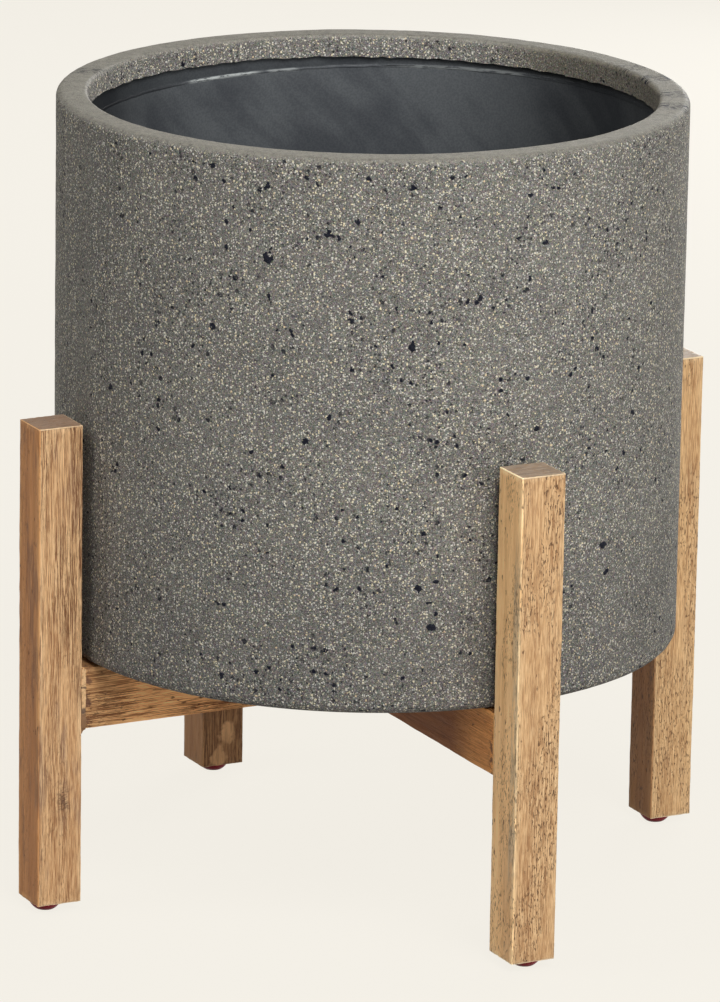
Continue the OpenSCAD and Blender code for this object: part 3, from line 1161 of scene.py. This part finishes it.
@dataclass
class DarkLiner:
    """The slate liner: a thin cup with a rolled bead under the gritty band."""

    inside_r: float = 183.0
    wall: float = 3.0
    corner_r: float = 12.0
    bead_z: float = 486.0
    bead_r: float = 1.1
    bead_flat: float = 0.5
    bead_tilt: float = 5.0
    drain_r: float = 12.0
    steps: int = 300

    def build(self) -> None:
        """Makes the liner."""
        low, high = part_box("pot_liner")
        base, top = low.z / MM, high.z / MM
        floor, outside = base + self.wall, self.inside_r + self.wall
        bead = bend((self.inside_r, self.bead_z), self.bead_r, 90, 270, 8, 70)
        liner = turned("dark_liner", [
            (self.drain_r, base, 12), (outside, base, 20), (outside, top, 2), (self.inside_r, top, 4),
            *((self.inside_r + (r - self.inside_r) * self.bead_flat, z, spans) for r, z, spans in bead),
            *bend((self.inside_r - self.corner_r, floor + self.corner_r), self.corner_r, 0, -90, 6, 30),
            (self.drain_r, floor, 2),
        ], self.steps)
        inner = (self.inside_r + 0.5) * MM
        slope = self.bead_tilt / self.inside_r
        reach = 1.5 * self.bead_r
        with editing(liner):
            pick(liner, "verts", lambda v: abs(v.co.z - self.bead_z * MM) < reach * MM and v.co.xy.length < inner)
            bpy.ops.transform.rotate(
                value=atan(slope), orient_axis="Y", center_override=(0, 0, self.bead_z * MM)
            )
        skin = group(liner, "skin", lambda p: p.xy.length < inner and p.z > (floor - 1) * MM)
        dent(liner, 0.5, 60.0, seed=0.9, area=skin)
        ridge = group(
            liner, "ridge", lambda p: abs(p.z - p.x * slope - self.bead_z * MM) < 2 * MM and p.xy.length < inner
        )
        dent(liner, 1.1, 9.0, seed=0.4, area=ridge, direction="Z", level=0.5)
        dent(liner, 0.5, 6.0, seed=0.8, area=ridge)
        smooth(liner, 50)
        finish = SlateLiner(self.bead_z, self.inside_r, self.bead_tilt).material()
        finished(liner, Body.POT, "liner", finish, "pot_liner")


@dataclass
class Timber:
    """A squared wooden piece with worn arrises: one leg or one bar."""

    node: str
    grain: Grain
    seed: float
    look: WoodLook
    slot: str = "wood"
    arris: float = 0.9
    wear: float = 0.40
    rows: int = 100
    columns: int = 24
    fibre_stretch: float = 14.0
    arris_stretch: float = 2.5

    def build(self, cutters: Sequence[Piece]) -> None:
        """Makes the piece.

        Args:
            cutters: What is cut out of it.
        """
        low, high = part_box(self.node)
        piece = block(self.node + "_worn", low, high)
        long_axis = self.grain.value[2]
        with editing(piece, "EDGE"):
            everything()
            bpy.ops.mesh.bevel(offset=self.arris * MM, segments=3, profile=0.5)
            for axis in range(3):
                divide(piece, axis, (self.rows if axis == long_axis else self.columns) - 1)
            everything()
            bpy.ops.mesh.normals_make_consistent(inside=False)
        stretch = [1.0, 1.0, 1.0]
        stretch[long_axis] = self.fibre_stretch
        dent(piece, self.wear, 2.4, stretch, self.seed)
        dent(piece, self.wear, 22.0, stretch, self.seed + 3, layers=1)
        reach = (self.arris + 0.35) * MM
        edge = group(piece, "arris", lambda p: sorted(min(p[i] - low[i], high[i] - p[i]) for i in range(3))[1] < reach)
        stretch[long_axis] = self.arris_stretch
        dent(piece, self.wear, 3.5, stretch, self.seed + 7, edge)
        cut(piece, cutters)
        smooth(piece, 38)
        finish = WornWood(piece.name, low, high, self.grain, self.seed, self.look)
        finished(piece, Body.STAND, self.slot, finish.material(), self.node)


@dataclass
class WoodenStand:
    """Four legs and two half-lapped bars, with filler in the joints."""

    hole_r: float = 4.05
    dowel_in_leg: float = 19.0
    dowel_in_bar: float = 23.0
    dowel_up: Pair = (130.0, 150.0)
    half_span: float = 206.0
    nail_r: float = 1.3
    nail_up: float = 22.5
    lap_w: float = 30.2
    lap_reach: float = 20.0
    screw_r: float = 2.05
    screw_top: float = 7.0
    head_r: float = 4.05
    head_h: float = 0.8
    past: float = 2.0
    fillet_r: float = 2.4
    fillet_sunk: float = 1.6
    fillet_inset: float = 0.5
    smear_out: float = 0.9
    smear_w: float = 2.6
    smear_in: float = 1.2
    smear_up: float = 0.8
    smear_bevel: float = 0.7

    def joint_pegs(self, out: Vector, start: float, end: float) -> list[Piece]:
        """Cutters for the two dowel holes at one end of a bar, along its direction."""
        ups = [Vector((0, 0, z * MM)) for z in self.dowel_up]
        return [peg(out * start * MM + up, out * end * MM + up, self.hole_r) for up in ups]

    def build_leg(self, leg: Timber, out: Vector, shift: float) -> None:
        """Makes one leg.

        Args:
            leg: Its sizes and finish.
            out: The direction from the pot's axis.
            shift: How far its glide's nail sits off the middle, along X.
        """
        low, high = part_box(leg.node)
        x, y = (low.x + high.x) / 2 + shift * MM, (low.y + high.y) / 2
        nail = peg(Vector((x, y, low.z - MM)), Vector((x, y, self.nail_up * MM)), self.nail_r, 16)
        leg.build([nail, *self.joint_pegs(out, self.half_span - self.past, self.half_span + self.dowel_in_leg)])

    def build_bar(self, bar: Timber, out: Vector, notch_up: bool) -> None:
        """Makes one bar with its half of the lap.

        Args:
            bar: Its sizes and finish.
            out: The bar's direction.
            notch_up: Whether its notch opens upwards.
        """
        low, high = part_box(bar.node)
        middle = (low.z + high.z) / 2
        side = Vector((-out.y, out.x, 0))
        reach = (out * self.lap_w / 2 + side * self.lap_reach) * MM
        corner = Vector((abs(reach.x), abs(reach.y), 0))
        bottom, top = (middle, high.z + MM) if notch_up else (low.z - MM, middle)
        cutters = [block("notch", Vector((0, 0, bottom)) - corner, Vector((0, 0, top)) + corner)]
        for way in (out, -out):
            cutters += self.joint_pegs(way, self.half_span - self.dowel_in_bar, self.half_span + self.past)
        holes = [(middle - MM, high.z - self.screw_top * MM, self.screw_r)]
        if notch_up:
            start = low.z - MM
            holes = [(start, middle + MM, self.screw_r), (start, low.z + self.head_h * MM, self.head_r)]
        cutters += [peg(Vector((0, 0, start)), Vector((0, 0, end)), radius) for start, end, radius in holes]
        bar.build(cutters)

    def build(self) -> None:
        """Makes the legs, the bars and the filler."""
        x, y = Vector((1, 0, 0)), Vector((0, 1, 0))
        left_low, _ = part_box("leg_left")
        back_low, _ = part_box("leg_back")
        # The tints below hold painted light and shade besides the wood's own colour: the back leg darkened as painted
        # shade under the pot, the bars lightened and warmed as painted light, and each left face tinted partly for the
        # light it gets.
        left = WoodLook(
            tone=(1.02, 0.95, 0.91), side=(0.88, 0.69, 0.52), furrow=1.0, crowded=0.9, mellow=0.45, fine=1.7,
            run=0.014, pits=0.20, grey=0.75, bruise=0.1, rubbed_and_highlit=0.9, end=(0.82, 0.75, 0.70),
            knot=Vector((left_low.x + 18 * MM, left_low.y, 75 * MM)),
        )
        front = WoodLook(
            tone=(1.02, 1.00, 0.98), side=(1.60, 1.68, 1.67), furrow=0.42, run=0.055, pits=0.52, grey=0.14,
            bruise=0.80, rubbed_and_highlit=0.4,
        )
        right = WoodLook(
            tone=(1.05, 1.04, 1.00), side=(0.62, 0.50, 0.42), furrow=0.32, run=0.040, pits=0.42, grey=0.20, bruise=0.3
        )
        back = WoodLook(
            tone=(0.49, 0.38, 0.30), side=(1.30, 1.34, 1.41), furrow=0.8, run=0.035, pits=0.2, grey=0.8, bruise=0.3,
            fillers=(
                (Vector((back_low.x + 18.5 * MM, back_low.y, 28.5 * MM)), 1.0),
                (Vector((back_low.x + 13.0 * MM, back_low.y, 12.5 * MM)), 0.75),
            ),
        )
        straight = WoodLook(
            tone=(1.66, 1.33, 1.03), furrow=1.1, fine=1.7, run=0.016, pits=0.34, grey=0.10, bruise=0.0, outer=0.50,
            inner=0.5, inner_span=(58.0, 112.0), stained_ends=0.85, blots=((11.0, 4.5), (-1.5, 9.5)),
        )
        shaded = WoodLook(
            tone=(1.14, 0.79, 0.45), furrow=0.95, fine=1.3, run=0.025, pits=0.15, grey=0.15, bruise=0.0, inner=1.0,
            stained_ends=0.9,
        )
        self.build_leg(Timber("leg_left", Grain.ALONG_Z, 1.3, left), -x, -3.0)
        self.build_leg(Timber("leg_front", Grain.ALONG_Z, 2.9, front), -y, 2.0)
        self.build_leg(Timber("leg_right", Grain.ALONG_Z, 4.1, right), x, -3.0)
        self.build_leg(Timber("leg_back", Grain.ALONG_Z, 5.7, back), y, 0.0)
        self.build_bar(Timber("bar_left_right", Grain.ALONG_X, 7.3, straight, "bar_wood"), x, False)
        self.build_bar(Timber("bar_front_back", Grain.ALONG_Y, 8.9, shaded, "bar_wood"), y, True)
        self.build_filler(*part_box("bar_left_right"))

    def build_filler(self, low: Vector, high: Vector) -> None:
        """Makes the filler of all joints but the front one: a fillet below the bar and smears beside it.

        Args:
            low: The left and right bar's lowest corner.
            high: Its highest corner.
        """
        finish = Filler(low.z / MM).material()
        r, deep = self.fillet_r * MM, self.fillet_sunk * MM
        inset = Vector((0, self.fillet_inset * MM, 0))
        fillet_low, fillet_high = Vector((low.x - deep, low.y, low.z - r)), Vector((low.x + r, high.y, low.z + deep))
        fillet = block("fillet", fillet_low + inset, fillet_high - inset)
        around = Vector((low.x + r, 0, low.z - r))
        across = Vector((0, 30 * MM, 0))
        cut(fillet, [peg(around - across, around + across, self.fillet_r * 0.98, 64)])
        smooth(fillet, 40)
        self.repeat(fillet, "joint_fillet_", finish)

        parts = []
        for side, face in ((-1, low.y), (1, high.y)):
            near, far = sorted((face + side * self.smear_out * MM, face - side * self.smear_in * MM))
            part = block(
                "smear", Vector((low.x - self.smear_in * MM, near, low.z + self.smear_up * MM)),
                Vector((low.x + self.smear_w * MM, far, high.z - self.smear_up * MM)),
            )
            with editing(part, "EDGE"):
                everything()
                bpy.ops.mesh.bevel(offset=self.smear_bevel * MM, segments=4)
                divide(part, 2, 60)
                divide(part, 0, 3)
            dent(part, 1.3, 4.5, seed=0.37, level=0.8)
            parts.append(part)
        smears = joined(parts, "smear")
        smooth(smears, 60)
        self.repeat(smears, "joint_smear_", finish)

    def repeat(self, first: Piece, name: str, finish: Material) -> None:
        """Copies a joint's piece to the back and right joints, each copy with its own mesh.

        Args:
            first: The piece at the left joint.
            name: The start of every copy's name.
            finish: Its material.
        """
        for turn, side in ((270, "back"), (180, "right"), (0, "left")):
            piece = first
            if turn:
                piece = first.copy()
                piece.data = first.data.copy()
                bpy.context.scene.collection.objects.link(piece)
                piece.rotation_euler = (0, 0, radians(turn))
                settle(piece)
            piece.name = piece.data.name = name + side
            finished(piece, Body.STAND, "wood", finish)


def dress_kept() -> None:
    """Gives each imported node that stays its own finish."""
    maroon = Moulded("maroon_glide", (0.270, 0.018, 0.030), 0.35, 0.15, 0.06).material()
    rubber = Moulded("black_rubber", (0.022, 0.022, 0.023), 0.62, 0.8).material()
    steel = ZincSteel().material()
    beech = PlainBeech().material()
    finishes = {
        "drain_plug": rubber, "bar_dowels": beech, "lap_screw": steel, "glide_nails": steel,
        "glide_left": maroon, "glide_front": maroon, "glide_right": maroon, "glide_back": maroon,
    }
    for name, finish in finishes.items():
        node = frame["nodes"][name]
        for part in [node, *node.children_recursive]:
            if part.type == "MESH":
                dress(part, finish)
        LOG.info("%s: packed node, finish %s", name, finish.name)


def toward(azimuth: float, elevation: float) -> Vector:
    """The direction from the object to a place round it: an azimuth of 0 is the front, 90 the right."""
    a, e = radians(azimuth), radians(elevation)
    return Vector((sin(a) * cos(e), -cos(a) * cos(e), sin(e)))


@dataclass
class Studio:
    """Pale floor, soft lamps and the camera, in metres and degrees.

    Each lamp has its azimuth, its elevation and its power in watts: a key from the front above, a low lamp beside
    it, a fill from the left and one behind.
    """

    backdrop: Colour = (0.905, 0.871, 0.799)
    azimuth: float = -27.05
    elevation: float = 15.324
    roll: float = 0.932
    away: float = 4.4376
    aim_side: float = -0.004217
    aim_up: float = 0.242615
    focal_px: float = 6935.29
    long_px: float = 1002.0
    sensor_mm: float = 36.0
    floor_r: float = 14.0
    bounce: float = 0.42
    glow: float = 0.95
    ambient: float = 0.20
    lamps: tuple[tuple[str, float, float, float], ...] = (
        ("key", -8, 45, 53), ("side", 14, 12, 22), ("fill", -100, 45, 19), ("behind", 132, 12, 56),
    )
    lamp_away: float = 2.8
    lamp_size: float = 1.2
    lit_z: float = 0.3

    def build(self) -> None:
        """Makes the whole set."""
        self.build_camera()
        self.build_floor()
        self.build_world()
        self.build_lamps()
        bpy.context.scene.view_settings.view_transform = "Standard"

    def build_camera(self) -> None:
        """Places the camera from its direction, distance and roll."""
        a, r = radians(self.azimuth), radians(self.roll)
        back = toward(self.azimuth, self.elevation)
        right = Vector((cos(a), sin(a), 0))
        up = back.cross(right)
        data = bpy.data.cameras.new("camera")
        data.sensor_width = self.sensor_mm
        data.lens = self.focal_px / self.long_px * self.sensor_mm
        data.clip_start, data.clip_end = 0.1, 60
        camera = bpy.data.objects.new("camera", data)
        bpy.context.scene.collection.objects.link(camera)
        side = right * cos(r) + up * sin(r)
        above = up * cos(r) - right * sin(r)
        spot = right * self.aim_side + Vector((0, 0, self.aim_up)) + back * self.away
        camera.matrix_world = Matrix.Translation(spot) @ Matrix((side, above, back)).transposed().to_4x4()
        bpy.context.scene.camera = camera

    def build_floor(self) -> None:
        """A wide pale floor that keeps the object's shadow and can't be seen from below."""
        clear()
        bpy.ops.mesh.primitive_circle_add(vertices=64, radius=self.floor_r, fill_type="NGON")
        floor = added("floor")
        n = Nodes("pale_floor")
        seen = n.seen()
        matt = n.node("BsdfDiffuse", {"Color": n.blend(seen, (self.bounce,) * 3, self.backdrop)})
        glow = n.node("Emission", {"Color": self.backdrop})
        lit = n.node("MixShader", {0: seen * self.glow, 1: matt, 2: glow})
        below = n.node("NewGeometry", {}, "Backfacing")
        n.end(n.node("MixShader", {0: below, 1: lit, 2: n.node("BsdfTransparent", {})}))
        dress(floor, n.owner)

    def build_world(self) -> None:
        """Even light from all round, with the backdrop's colour where it is seen."""
        n = Nodes(bpy.data.worlds.new("studio"))
        around = n.node("Background", {"Color": (1, 1, 1), "Strength": self.ambient})
        shown = n.node("Background", {"Color": self.backdrop})
        n.end(n.node("MixShader", {0: n.seen(), 1: around, 2: shown}), "World")
        bpy.context.scene.world = n.owner

    def build_lamps(self) -> None:
        """Square soft lamps that point at the pot."""
        for name, azimuth, elevation, watts in self.lamps:
            out = toward(azimuth, elevation)
            data = bpy.data.lights.new(name, "AREA")
            data.size = self.lamp_size
            data.energy = watts
            lamp = bpy.data.objects.new(name, data)
            bpy.context.scene.collection.objects.link(lamp)
            lamp.location = Vector((0, 0, self.lit_z)) + out * self.lamp_away
            lamp.rotation_euler = out.to_track_quat("Z", "Y").to_euler()


def main() -> None:
    """Builds the set and every piece."""
    logging.basicConfig(level=logging.INFO, format="%(message)s")
    Studio().build()
    StonePot().build()
    DarkLiner().build()
    WoodenStand().build()
    dress_kept()


if __name__ == "__main__":
    main()
